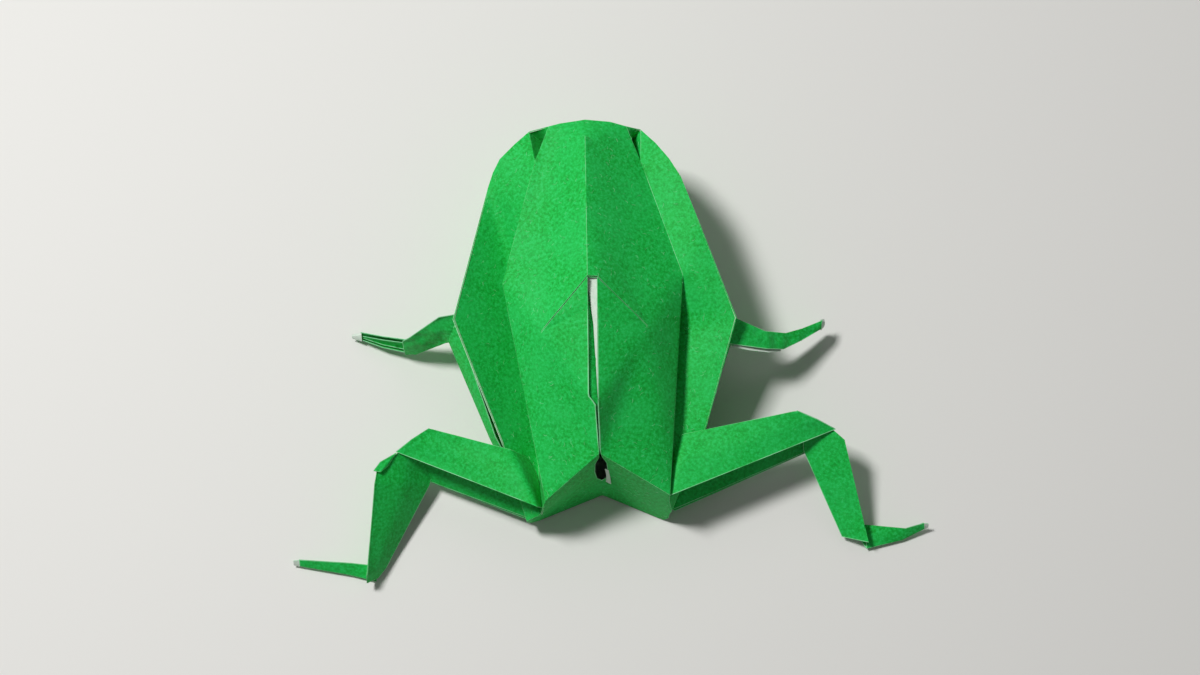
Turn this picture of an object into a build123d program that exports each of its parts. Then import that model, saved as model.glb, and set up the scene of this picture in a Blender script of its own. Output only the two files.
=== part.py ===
"""Inflated origami frog, folded from one square sheet of paper.

The nose points along +Y, the back is up and the belly lies flat on Z = 0. The origin is
the point of the belly under the top of the back. All sizes are in millimetres.
"""

from build123d import *
import math
import os

import numpy as np

# Paper
ply = 0.1                       # one thickness of the sheet
skin_plies = 3                  # plies lying together in a wall of the body
limb_plies = 4                  # plies on each side of a folded limb
skin = ply * skin_plies
limb_wall = ply * limb_plies

# Middle of the back, from the nose to the tail
crown_reach = 21.0
crown_height = 19.8
brow_run = 3.2                  # from the crown forwards to the brow
brow_height = 17.5
muzzle_run = 2.3                # from the brow forwards to the nose
nose_height = 6.0
brow_reach = crown_reach + brow_run
nose_reach = brow_reach + muzzle_run
peak_reach = 0.3                # where the two flaps of the back begin
peak_height = 22.2
slit_end_reach = -16.4
slit_end_height = 18.7
tail_reach = -22.8
tail_height = 14.5

# Fold on each half of the back, where the edge of the small flap meets the leg's root
flap_half_width = 7.25
flap_corner_reach = -6.0
flap_corner_height = 18.5

# Ridge on each side of the back
brow_half_width = 5.4
brow_ridge_setback = 1.0        # the front corners lie this far behind the brow
brow_ridge_height = 16.8
back_half_width = 12.25
back_corner_reach = 1.8
back_corner_height = 16.0
hip_half_width = 8.6
hip_reach = -27.7
hip_height = 10.0

# Groove between the back and each side page
head_groove_half_width = 5.8
head_groove_height = 10.5
groove_half_width = 9.4
groove_height = 5.5
flank_groove_height = 5.2
rear_groove_height = 6.3

# Outer ridge of each side page
temple_half_width = 7.7
temple_setback = 0.4            # the temples lie this far behind the brow
temple_height = 14.0
cheek_half_width = 12.2
cheek_run = 4.8                 # from the temple back to the cheek
shoulder_half_width = 19.2
shoulder_reach = -2.6
shoulder_height = 12.0
flank_half_width = 14.0
flank_reach = -18.2
flank_height = 9.0
haunch_half_width = 9.2
haunch_height = 4.0

# Side of the body, folded in under the outer ridge
crown_fold_half_width = 9.2
crown_fold_height = 8.0
cheek_fold_depth = 1.6
cheek_fold_height = 6.6
shoulder_fold_depth = 4.2
shoulder_fold_height = 5.0
flank_fold_depth = 2.4
flank_fold_height = 4.2
haunch_fold_depth = 0.8
haunch_fold_height = 2.6

# Lower ridge of the side, just above the belly
crown_keel_half_width = 8.0
crown_keel_height = 4.0
cheek_keel_inset = 2.2
cheek_keel_height = 2.8
shoulder_keel_inset = 1.6
flank_keel_inset = 0.6
haunch_keel_inset = 0.4
keel_height = 1.6

# Belly
chin_run = 4.0                  # from under the cheeks back to the front of the belly
belly_front_half_width = 6.5
belly_half_width = 12.0
flank_belly_inset = 4.5
haunch_belly_inset = 1.7
belly_flap_plies = 2
belly_flap_half_width = 10.5
belly_flap_reach = 4.0
belly_flap_thickness = ply * belly_flap_plies

# Slit between the flaps, rear faces and blow hole
slit_width = 1.3                # the raw edges stand this far apart at the peak
rear_lean = 0.12                # how far the rear faces run forward for each mm up
blow_hole_width = 1.6
blow_hole_height = 5.0
end_run = 2.4                   # from the hips back to the corners that the side creases aim at
root_overhang = 0.7             # the plan of a leg's root reaches this far past the back
clear_of_body = 45.0            # reach of a cut that goes right through the body

# Joints of the limbs, each given from the one before it, and ankles and elbows on the table
left_root_step = (2.0, -1.5, 0.2)       # from the flank
left_knee_step = (-11.0, 3.2, 1.3)
left_ankle_step = (-9.6, -18.4)
left_elbow_step = (-6.0, -1.0)          # from the shoulder
right_root_step = (-2.7, -0.4, 0.2)
right_knee_step = (15.5, 2.2, 1.3)
right_ankle_step = (9.2, -16.2)
right_elbow_step = (7.0, -1.2)

# Reaches that follow from others
brow_ridge_reach = brow_reach - brow_ridge_setback
temple_reach = brow_reach - temple_setback
cheek_reach = temple_reach - cheek_run
belly_front_reach = cheek_reach - chin_run
end_reach = hip_reach - end_run

# How far the rear faces run back for each mm out from the middle, from the tail to the hips
rear_slope = (tail_reach - hip_reach - rear_lean * (tail_height - hip_height)) / hip_half_width

# Corners of the body that the limbs grow from, on the right
hip = (hip_half_width, hip_reach, hip_height)
haunch = (haunch_half_width, end_reach, haunch_height)
flank = (flank_half_width, flank_reach, flank_height)
shoulder = (shoulder_half_width, shoulder_reach, shoulder_height)


def mirrored(point):
    """The same point on the other half of the body."""
    x, y, z = point
    return -x, y, z


def stepped(point, step):
    """The point that lies one step away, or on the table where the step has no height."""
    if len(step) == 2:
        return point[0] + step[0], point[1] + step[1], 0
    return tuple(place + move for place, move in zip(point, step))


left_haunch, left_flank, left_shoulder = map(mirrored, (haunch, flank, shoulder))
left_root = stepped(left_flank, left_root_step)
left_knee = stepped(left_root, left_knee_step)
left_ankle = stepped(left_knee, left_ankle_step)
left_elbow = stepped(left_shoulder, left_elbow_step)
right_root = stepped(flank, right_root_step)
right_knee = stepped(right_root, right_knee_step)
right_ankle = stepped(right_knee, right_ankle_step)
right_elbow = stepped(shoulder, right_elbow_step)

# Cuts across the folded limbs: a joint, and from there the crease, the upper edge and the
# lower edge of the strip
left_thigh = [
    (left_root, (2.2, -0.8, -2.4), (4.4, -6.8, -0.8), (4.4, -6.4, -6.4)),
    (left_root, (0, 0, 0), (3.2, -8.1, 0.1), (2.2, -8.9, -5.8)),
    (left_knee, (0, 0, 0), (-4.8, -2.5, -2.5), (-4.5, -4.0, -7.7)),
]
left_shin = [
    (left_knee, (-4.4, -2.3, -2.4), (-0.6, -3.7, -2.0), (-1.0, -4.1, -6.0)),
    (left_knee, (-7.5, -4.3, -3.9), (-0.3, -5.7, -3.7), (-1.6, -6.1, -7.3)),
    (left_ankle, (0, -0.3, 1.0), (2.7, 0.9, 1.5), (2.0, 0.9, 0.2)),
]
left_foot = [
    (left_ankle, (0.2, -0.4, 0.2), (0.8, 1.5, 1.8), (0.2, 1.1, 0.2)),
    (left_ankle, (-3.8, 0.7, 0.1), (-3.6, 2.0, 1.8), (-3.6, 1.5, 0.1)),
    (left_ankle, (-10.2, 2.3, 0.6), (-10.2, 3.0, 1.4), (-10.2, 2.9, 0.5)),
]
right_thigh = [
    (right_root, (-1.6, -1.4, -2.4), (-3.8, -7.2, -0.8), (-3.6, -7.0, -6.4)),
    (right_root, (0, 0, 0), (-2.4, -8.6, 0.3), (-0.3, -9.7, -5.8)),
    (right_knee, (0, 0, 0), (5.3, -2.4, -2.0), (4.7, -3.2, -6.1)),
]
right_shin = [
    (right_knee, (4.8, -2.3, -2.0), (0.8, -3.6, -1.9), (1.2, -3.8, -5.5)),
    (right_knee, (6.4, -3.6, -3.4), (0.8, -4.8, -3.5), (1.8, -5.2, -6.5)),
    (right_ankle, (0, -0.8, 1.0), (-3.5, 0.5, 1.2), (-2.8, 0.4, 0.1)),
]
right_foot = [
    (right_ankle, (-0.2, -1.2, 0.2), (-0.7, 1.7, 2.4), (-1.0, 0.2, 0.2)),
    (right_ankle, (4.8, -0.2, 0.1), (5.2, 0.9, 2.0), (4.8, 0.6, 0.1)),
    (right_ankle, (8.5, 1.0, 1.2), (8.4, 1.7, 2.0), (8.3, 1.6, 1.1)),
]
left_upper_arm = [
    (left_haunch, (-1.0, 3.6, -2.2), (0.2, 3.6, 0.4), (0.6, 3.7, -2.8)),
    (left_flank, (-1.1, 1.0, -3.4), (-0.2, 0.7, -1.4), (0.6, 0.8, -4.2)),
    (left_shoulder, (-1.2, -0.7, -4.2), (1.2, 0.6, -1.0), (2.0, -0.2, -5.0)),
]
left_forearm = [
    (left_shoulder, (3.4, -1.6, -4.6), (2.8, 0.6, -2.6), (3.6, -0.2, -5.8)),
    (left_shoulder, (-0.6, -1.0, -4.4), (-1.2, 1.8, -2.2), (0.2, 1.2, -5.0)),
    (left_elbow, (0, 0, 1.9), (-0.8, 1.5, 4.0), (0, 1.8, 1.4)),
    (left_elbow, (-4.5, 1.4, 0.4), (-4.4, 2.0, 2.6), (-4.2, 2.8, 0.6)),
    (left_elbow, (-8.7, 2.9, 0.3), (-8.7, 3.4, 1.3), (-8.6, 3.9, 0.5)),
]
right_upper_arm = [
    (haunch, (1.0, 3.6, -2.2), (-0.2, 3.6, 0.4), (-0.6, 3.7, -2.8)),
    (flank, (0.2, 1.0, -4.4), (-0.6, 0.7, -2.0), (-1.4, 0.8, -5.0)),
    (shoulder, (0, -1.7, -5.2), (-0.8, -0.6, -1.2), (-2.0, -1.4, -6.0)),
]
right_forearm = [
    (shoulder, (-3.0, -1.0, -2.8), (-3.4, -3.6, -4.4), (-3.6, -2.4, -6.6)),
    (shoulder, (-0.6, -0.2, -1.4), (-1.2, -3.8, -3.6), (-1.6, -2.4, -6.0)),
    (right_elbow, (-2.9, -0.3, 6.0), (-2.6, -2.1, 3.6), (-3.3, -2.4, 1.6)),
    (right_elbow, (0, 0, 4.0), (-0.4, -1.7, 2.3), (-0.3, -1.1, 0.6)),
    (right_elbow, (5.0, 2.0, 2.8), (4.8, 0.9, 1.4), (4.8, 1.6, 0.6)),
]
limbs = (left_thigh, left_shin, left_foot, right_thigh, right_shin, right_foot,
         left_upper_arm, left_forearm, right_upper_arm, right_forearm)

# Creases of the body's right half, each from the nose backwards
nose = (0, nose_reach, nose_height)
back_middle = [
    nose, (0, brow_reach, brow_height), (0, crown_reach, crown_height),
    (0, peak_reach, peak_height), (0, slit_end_reach, slit_end_height),
    (0, tail_reach, tail_height),
]
back_ridge = [
    nose, (brow_half_width, brow_ridge_reach, brow_ridge_height),
    (back_half_width, back_corner_reach, back_corner_height), hip,
]
flap_fold = [
    nose, back_ridge[1], (flap_half_width, flap_corner_reach, flap_corner_height), hip,
]
groove = [
    nose, (head_groove_half_width, crown_reach, head_groove_height),
    (groove_half_width, shoulder_reach, groove_height),
    (hip_half_width, flank_reach, flank_groove_height),
    (hip_half_width, end_reach, rear_groove_height),
]
side_ridge = [
    nose, (temple_half_width, temple_reach, temple_height),
    (cheek_half_width, cheek_reach, shoulder_height), shoulder, flank, haunch,
]
side_fold = [
    nose, (crown_fold_half_width, crown_reach, crown_fold_height),
    (cheek_half_width - cheek_fold_depth, cheek_reach, cheek_fold_height),
    (shoulder_half_width - shoulder_fold_depth, shoulder_reach, shoulder_fold_height),
    (flank_half_width - flank_fold_depth, flank_reach, flank_fold_height),
    (haunch_half_width - haunch_fold_depth, end_reach, haunch_fold_height),
]
keel = [
    nose, (crown_keel_half_width, crown_reach, crown_keel_height),
    (cheek_half_width - cheek_keel_inset, cheek_reach, cheek_keel_height),
    (shoulder_half_width - shoulder_keel_inset, shoulder_reach, keel_height),
    (flank_half_width - flank_keel_inset, flank_reach, keel_height),
    (haunch_half_width - haunch_keel_inset, end_reach, keel_height),
]
belly_edge = [
    nose, (belly_front_half_width, belly_front_reach, belly_flap_thickness),
    (belly_half_width, shoulder_reach, belly_flap_thickness),
    (flank_half_width - flank_belly_inset, flank_reach, belly_flap_thickness),
    (haunch_half_width - haunch_belly_inset, end_reach, belly_flap_thickness),
]
belly_middle = [
    nose, (0, belly_front_reach, belly_flap_thickness), (0, end_reach, belly_flap_thickness),
]


def rear_gap(point):
    """How far in front of the rear face of its half a point lies."""
    x, y, z = point
    return y - tail_reach + rear_slope * abs(x) - rear_lean * (z - tail_height)


def ended_at_rear(crease):
    """The crease as far as the rear face."""
    for number, (start, end) in enumerate(zip(crease, crease[1:])):
        if rear_gap(end) <= 0:
            share = rear_gap(start) / (rear_gap(start) - rear_gap(end))
            crossing = tuple(near + share * (far - near) for near, far in zip(start, end))
            return crease[:number + 1] + [crossing]
    return crease


lower_creases = map(ended_at_rear, (groove, side_ridge, side_fold, keel, belly_edge, belly_middle))
right_creases = [back_middle, flap_fold, back_ridge, *lower_creases]


def panels_between(first, second):
    """The flat triangles of paper between two neighbouring creases."""
    i = j = 0
    while i < len(first) - 1 or j < len(second) - 1:
        ahead = i < len(first) - 1 and (j == len(second) - 1 or first[i + 1][1] >= second[j + 1][1])
        tip = first[i + 1] if ahead else second[j + 1]
        if len({first[i], second[j], tip}) == 3:
            yield first[i], second[j], tip
        i, j = (i + 1, j) if ahead else (i, j + 1)


def inside(corner, panels, wall):
    """The corner moved inwards so that it lies one wall behind each panel that meets there."""
    facing = []
    for panel in panels:
        if corner in panel:
            a, b, c = (Vector(*point) for point in panel[:3])
            facing.append(tuple((b - a).cross(c - a).normalized()))
    step = np.linalg.lstsq(np.array(facing), np.full(len(facing), wall), rcond=0.1)[0]
    x, y, z = (float(value) for value in np.array(corner) + step)
    if corner in rear_corners:
        y += wall * math.hypot(1, rear_slope, rear_lean) - rear_gap((x, y, z))
    return x, y, z


def closed_by(panels):
    """The solid that a closed net of flat panels encloses."""
    return Solid(Shell([Face(Wire.make_polygon(corners)) for corners in panels]))


# Two rear faces, which meet in a V at the tail
low, tail, *side_ends = dict.fromkeys(crease[-1] for crease in right_creases[-1:] + right_creases)
right_rear = [low, tail] + side_ends
left_rear = [tail, low] + [mirrored(end) for end in reversed(side_ends)]
rear_corners = right_rear + left_rear

# Net of panels all round the body
left_creases = [[mirrored(point) for point in crease] for crease in right_creases[-2:0:-1]]
around = right_creases + left_creases
net = [right_rear, left_rear]
for first, second in zip(around, around[1:] + around[:1]):
    net.extend(panels_between(first, second))

with BuildPart() as form:
    add(closed_by(net))

# Air inside the body, up to one skin from its panels
inner = {corner: inside(corner, net, skin) for panel in net for corner in panel}
with BuildPart() as hollow:
    add(closed_by([[inner[corner] for corner in panel] for panel in net]))


def back_layer(plies, plan):
    """A flap of the sheet lying on the back: the back raised by the flap's plies in its plan."""
    rise = plies * ply
    with BuildPart() as layer:
        add(form.part.moved(Location((0, rear_lean * rise, rise))))
        with BuildSketch(Plane.XY.offset(hip_height - skin)):
            with BuildLine():
                Polyline(plan, close=True)
            make_face()
        extrude(amount=clear_of_body, mode=Mode.INTERSECT)
    return layer.part


small_flap = back_layer(1, [
    (0, peak_reach), (flap_half_width, flap_corner_reach), (0, slit_end_reach),
    (-flap_half_width, flap_corner_reach),
])
root_front_side = back_half_width + root_overhang
root_rear_side = hip_half_width + root_overhang
leg_roots = back_layer(2, [
    (0, slit_end_reach), (flap_half_width, flap_corner_reach),
    (root_front_side, back_corner_reach + root_overhang), (root_rear_side, hip_reach),
    (root_rear_side, end_reach), (-root_rear_side, end_reach), (-root_rear_side, hip_reach),
    (-root_front_side, back_corner_reach + root_overhang), (-flap_half_width, flap_corner_reach),
])

# Body: skin, flaps, slit and blow hole
with BuildPart() as body:
    add(form.part)
    add(small_flap)
    add(leg_roots)
    add(hollow.part, mode=Mode.SUBTRACT)
    with BuildSketch(Plane.XY.offset(hip_height)):
        with BuildLine():
            Polyline((-slit_width / 2, peak_reach), (slit_width / 2, peak_reach),
                     (0, slit_end_reach), close=True)
        make_face()
    extrude(amount=clear_of_body, mode=Mode.SUBTRACT)
    with BuildSketch(Plane.XZ.offset(-tail_reach - blow_hole_height)):
        with Locations((0, tail_height - blow_hole_height)):
            Ellipse(blow_hole_width / 2, blow_hole_height / 2)
    extrude(amount=clear_of_body, mode=Mode.SUBTRACT)
    with BuildSketch():
        with BuildLine():
            Polyline((0, belly_flap_reach - belly_flap_half_width),
                     (belly_flap_half_width, belly_flap_reach),
                     (hip_half_width, tail_reach), (0, low[1]),
                     (-hip_half_width, tail_reach), (-belly_flap_half_width, belly_flap_reach),
                     close=True)
        make_face()
    extrude(amount=belly_flap_thickness + ply)


def folded_strip(cuts):
    """A limb: a strip creased along its length, lofted through its V-shaped cuts."""
    with BuildPart() as strip:
        for joint, crease, upper, lower in cuts:
            above = Vector(*upper) - Vector(*crease)
            below = Vector(*lower) - Vector(*crease)
            opening = math.radians(above.get_angle(below))
            fold = limb_wall / math.sin(opening / 2)
            plane = Plane(Vector(*joint) + Vector(*crease), x_dir=above, z_dir=above.cross(below))
            with BuildSketch(plane):
                with BuildLine():
                    edge = Vector(math.cos(opening), math.sin(opening)) * below.length
                    wall = Vector(math.sin(opening), -math.cos(opening)) * limb_wall
                    Polyline((0, 0), (above.length, 0), (above.length, limb_wall),
                             (fold * math.cos(opening / 2), fold * math.sin(opening / 2)),
                             edge + wall, edge, close=True)
                make_face()
        loft(ruled=True)
    return strip.part


# The whole sheet, one piece of paper
with BuildPart() as folded_frog:
    add(body.part)
    for limb in limbs:
        add(folded_strip(limb))

folded_frog.part.label = "folded_frog"
os.makedirs("parts", exist_ok=True)
export_step(folded_frog.part, "parts/folded_frog.step")
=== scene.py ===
"""Looks of the inflated origami frog: softened panels, folded limbs, layered edges and paper.

Every piece is one face of the same folded sheet, coloured on one side and white on the other.
It is drawn as a net of flat panels between folds, refined, softened where the paper bends
without a fold, and given the thickness of its plies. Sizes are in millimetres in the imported
frame: the nose points along +Y, +Z is up, and the belly lies on Z = 0.
"""

import logging
import math
from dataclasses import dataclass, field, replace
from enum import Enum, IntEnum
from typing import Iterable, Sequence

import bmesh
import bpy
import numpy as np
from mathutils import Matrix, Vector
from mathutils.bvhtree import BVHTree
from mathutils.noise import noise_vector, seed_set


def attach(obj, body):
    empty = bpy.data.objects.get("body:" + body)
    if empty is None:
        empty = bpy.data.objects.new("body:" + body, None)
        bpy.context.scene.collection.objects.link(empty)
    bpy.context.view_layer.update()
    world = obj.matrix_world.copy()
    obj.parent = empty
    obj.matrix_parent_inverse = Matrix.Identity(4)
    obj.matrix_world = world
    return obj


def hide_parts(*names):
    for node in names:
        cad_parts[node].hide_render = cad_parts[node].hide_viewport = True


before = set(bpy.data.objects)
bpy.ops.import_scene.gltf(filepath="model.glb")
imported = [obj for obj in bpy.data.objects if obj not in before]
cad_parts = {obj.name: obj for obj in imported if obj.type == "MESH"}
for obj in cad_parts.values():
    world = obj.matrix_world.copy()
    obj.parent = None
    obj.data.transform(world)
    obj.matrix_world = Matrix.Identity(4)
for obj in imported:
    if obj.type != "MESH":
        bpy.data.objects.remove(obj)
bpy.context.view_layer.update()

LOG = logging.getLogger("origami_frog")
MM = 0.001

Point = tuple[float, float, float]
Panel = tuple[Point, ...]

# How a net of panels is refined, softened and shaded
REFINING_PASSES = 3             # rounds of cuts at each halving of the longest edge
LENGTH_SLACK = 1.01             # an edge up to this many times the wanted length stays whole
SOFTENING_RATE = 0.6            # share of the way to its neighbours' mean that a vertex moves
WAVE_FADE_STEPS = 6             # steps of softening over which the waves fade out at the folds
SHARP_ANGLE_DEG = 55.0          # panels that meet at a sharper bend are shaded apart

# How computed corners are matched with the given ones
DECIMALS = 5                    # places to which a computed corner is rounded
NEAR_ZERO = 1e-6                # a point no further behind a rear face than this lies on it

# Height from which rays are cast down onto the back
ABOVE_THE_BACK = 60.0

# Seed of the paper's waves, so that each run draws the same ones
WAVE_SEED = 7


class Side(Enum):
    """Which half of the frog, as the sign of X."""

    LEFT = -1
    RIGHT = 1


class PaperFace(Enum):
    """Which sides of the sheet show on a piece, outside and inside."""

    COLOURED = "coloured outside, white inside"
    DOUBLED = "folded double, coloured on both sides"
    WHITE = "white outside, coloured inside"


class StripSide(Enum):
    """The two sides of a limb's strip, which meet at its crease."""

    UPPER = "upper"
    LOWER = "lower"


class Fold(IntEnum):
    """The folds of one half of the body, in order from the middle of the back to the belly."""

    BACK_MIDDLE = 0
    FLAP = 1
    BACK_RIDGE = 2
    GROOVE = 3
    PAGE_RIDGE = 4
    SIDE = 5
    KEEL = 6
    BELLY_EDGE = 7
    BELLY_MIDDLE = 8


def linear(colour: str) -> tuple[float, float, float, float]:
    """Turns an sRGB hex colour into linear RGBA.

    Args:
        colour: Six hex digits after a hash, such as "#1CAD4E".

    Returns:
        Red, green, blue and an alpha of 1.
    """
    channels = [int(colour[i:i + 2], 16) / 255 for i in (1, 3, 5)]
    red, green, blue = (c / 12.92 if c <= 0.04045 else ((c + 0.055) / 1.055) ** 2.4 for c in channels)
    return red, green, blue, 1.0


def add_node(tree: bpy.types.NodeTree, kind: str, settings: dict | None = None,
             **inputs: object) -> bpy.types.Node:
    """Adds a node, with its settings and its inputs.

    Args:
        tree: The node tree that gets the node.
        kind: The node's type, such as "ShaderNodeTexNoise".
        settings: Properties of the node, such as {"noise_dimensions": "3D"}.
        **inputs: Input values or links by socket name, with underscores for spaces, or by
            socket number after an underscore. A node socket is linked, and anything else is
            set as the value.

    Returns:
        The new node.
    """
    node = tree.nodes.new(kind)
    for key, value in (settings or {}).items():
        setattr(node, key, value)
    for key, value in inputs.items():
        index = key[1:] if key.startswith("_") else key.replace("_", " ")
        socket = node.inputs[int(index)] if key.startswith("_") else node.inputs[index]
        if isinstance(value, bpy.types.NodeSocket):
            tree.links.new(value, socket)
        else:
            socket.default_value = value
    return node


def noise(tree: bpy.types.NodeTree, place: bpy.types.NodeSocket, size_mm: float,
          **inputs: float) -> bpy.types.NodeSocket:
    """Adds a noise.

    Args:
        tree: The node tree that gets it.
        place: The coordinates that it reads.
        size_mm: The size of its features.
        **inputs: Its other inputs, such as Detail.

    Returns:
        The noise's value.
    """
    node = add_node(tree, "ShaderNodeTexNoise", Vector=place, Scale=1 / (size_mm * MM), **inputs)
    return node.outputs["Fac"]


def linked(name: str, data: bpy.types.ID) -> bpy.types.Object:
    """Makes an object and puts it in the scene.

    Args:
        name: The object's name.
        data: Its mesh, camera or lamp.

    Returns:
        The object.
    """
    thing = bpy.data.objects.new(name, data)
    bpy.context.scene.collection.objects.link(thing)
    return thing


@dataclass(frozen=True)
class Cover:
    """How far one colour covers another, as a noise or the wear grows."""

    low: float                      # value up to which it doesn't show
    high: float                     # value from which it shows most
    most: float                     # share of the other colour that it then hides

    def over(self, tree: bpy.types.NodeTree, value: bpy.types.NodeSocket, below: object,
             colour: str) -> bpy.types.NodeSocket:
        """Lays a colour over what is below it.

        Args:
            tree: The material's node tree.
            value: The noise or wear.
            below: The colour below, as a socket or as linear RGBA.
            colour: The colour laid over it, in hex.

        Returns:
            The mixed colour.
        """
        share = add_node(tree, "ShaderNodeMapRange", Value=value, From_Min=self.low,
                         From_Max=self.high, To_Min=0.0, To_Max=self.most)
        mixed = add_node(tree, "ShaderNodeMix", {"data_type": "RGBA"}, _0=share.outputs[0],
                         _6=below, _7=linear(colour))
        return mixed.outputs[2]


@dataclass(frozen=True)
class WhitePaper:
    """The undyed reverse of the sheet and its cut edges: matt, slightly warm white pulp.

    The eye sees soft fibre relief, and a tint of the dye that has soaked through.
    """

    name: str = "craft paper, white side"
    colour: str = "#DDE6DC"
    soaked: str = "#A9D9B6"
    soaking: Cover = Cover(0.35, 0.7, 0.35)
    fibre_length_mm: float = 0.5
    fibre_detail: float = 4.0
    fibre_contrast: float = 0.7
    relief: float = 0.5             # strength of the fibres' relief
    relief_mm: float = 0.03
    roughness: float = 0.8
    shine: float = 0.5
    sheen: float = 0.0
    sheen_roughness: float = 0.5

    def tint(self, tree: bpy.types.NodeTree, place: bpy.types.NodeSocket,
             fibres: bpy.types.NodeSocket) -> bpy.types.NodeSocket:
        """The white pulp, tinted by the dye that has soaked through."""
        return self.soaking.over(tree, fibres, linear(self.colour), self.soaked)

    def material(self) -> bpy.types.Material:
        """Builds the node material.

        Returns:
            The material, which reads Object coordinates.
        """
        material = bpy.data.materials.new(self.name)
        material.use_nodes = True
        tree = material.node_tree
        shader = tree.nodes["Principled BSDF"]
        place = add_node(tree, "ShaderNodeTexCoord").outputs["Object"]
        fibres = noise(tree, place, self.fibre_length_mm, Detail=self.fibre_detail,
                       Roughness=self.fibre_contrast)
        bump = add_node(tree, "ShaderNodeBump", Height=fibres, Strength=self.relief,
                        Distance=self.relief_mm * MM)
        tree.links.new(self.tint(tree, place, fibres), shader.inputs["Base Color"])
        tree.links.new(bump.outputs["Normal"], shader.inputs["Normal"])
        shader.inputs["Roughness"].default_value = self.roughness
        shader.inputs["Specular IOR Level"].default_value = self.shine
        shader.inputs["Sheen Weight"].default_value = self.sheen
        shader.inputs["Sheen Roughness"].default_value = self.sheen_roughness
        return material


@dataclass(frozen=True)
class ColouredPaper(WhitePaper):
    """The same paper of 70 g/m2 on its dyed side, uncoated.

    The eye sees a matt, slightly cloudy colour with pale fibres in it and a soft sheen at low
    angles. Along the folds and free edges it has paler lines, partly cracked dye and partly a painted
    highlight.
    """

    name: str = "craft paper, coloured side"
    colour: str = "#10B843"
    cloudy: str = "#2ACB64"
    deep: str = "#0A9A30"
    fibre_colour: str = "#62D486"
    # colour of the pale lines along folds and free edges: partly cracked dye, partly a painted highlight
    wear_and_highlight: str = "#9CEBB2"
    deep_at: float = 0.35           # values of the fibres' noise for the three greens
    plain_at: float = 0.5
    cloudy_at: float = 0.68
    fibre_length_mm: float = 0.42
    fibre_detail: float = 3.0
    cloud_mm: float = 5.0
    cloud_cover: Cover = Cover(0.35, 0.65, 0.3)
    speckle_mm: float = 0.6
    speckle_cover: Cover = Cover(0.6, 0.78, 0.45)
    # how far the pale lines cover, partly wear and partly a painted highlight
    wear_and_highlight_cover: Cover = Cover(0.3, 0.6, 0.85)
    relief: float = 0.55
    roughness: float = 0.62
    shine: float = 0.2
    sheen: float = 0.03

    def tint(self, tree: bpy.types.NodeTree, place: bpy.types.NodeSocket,
             fibres: bpy.types.NodeSocket) -> bpy.types.NodeSocket:
        """Mixes the dye's mottle, clouds, pale fibres, and pale lines along folds and free edges, which are
        partly wear and partly a painted highlight.

        Args:
            tree: The material's node tree.
            place: The coordinates that noises read.
            fibres: The noise of the fibres.

        Returns:
            The colour.
        """
        clouds = noise(tree, place, self.cloud_mm, Detail=2.0)
        speckles = noise(tree, place, self.speckle_mm, Detail=4.0, Roughness=0.8, Distortion=0.6)
        mottle = add_node(tree, "ShaderNodeValToRGB", Fac=fibres)
        stops = mottle.color_ramp.elements
        for stop, at, colour in zip(stops, (self.deep_at, self.cloudy_at), (self.deep, self.cloudy)):
            stop.position = at
            stop.color = linear(colour)
        stops.new(self.plain_at).color = linear(self.colour)
        clouded = self.cloud_cover.over(tree, clouds, mottle.outputs["Color"], self.cloudy)
        speckled = self.speckle_cover.over(tree, speckles, clouded, self.fibre_colour)
        # pale lines along folds and free edges, broken up by the clouds: partly wear of the dye, partly a
        # painted highlight of the edges
        folds = add_node(tree, "ShaderNodeAttribute", {"attribute_name": "fold_wear_and_highlight"})
        broken = add_node(tree, "ShaderNodeMath", {"operation": "MULTIPLY"},
                          _0=folds.outputs["Fac"], _1=clouds)
        return self.wear_and_highlight_cover.over(tree, broken.outputs[0], speckled, self.wear_and_highlight)


@dataclass
class PaperStock:
    """The materials of the sheet, built once and shared by every piece."""

    coloured: bpy.types.Material
    white: bpy.types.Material
    edge: bpy.types.Material

    def slots(self, face: PaperFace) -> list[bpy.types.Material]:
        """Chooses the materials of a piece.

        Args:
            face: Which sides of the sheet show on it.

        Returns:
            Its outer, inner and cut-edge materials.
        """
        outer = self.white if face is PaperFace.WHITE else self.coloured
        inner = self.white if face is PaperFace.COLOURED else self.coloured
        return [outer, inner, self.edge]


def panels_between(first: Sequence[Point], second: Sequence[Point]) -> Iterable[Panel]:
    """The flat triangles of paper between two neighbouring folds.

    Args:
        first: Corners of one fold, from the nose backwards.
        second: Corners of the next fold, in the same order.

    Returns:
        The triangles, in order of their reach along Y.
    """
    i = j = 0
    while i < len(first) - 1 or j < len(second) - 1:
        ahead = i < len(first) - 1 and (j == len(second) - 1 or first[i + 1][1] >= second[j + 1][1])
        tip = first[i + 1] if ahead else second[j + 1]
        if len({first[i], second[j], tip}) == 3:
            yield first[i], second[j], tip
        i, j = (i + 1, j) if ahead else (i, j + 1)


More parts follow.
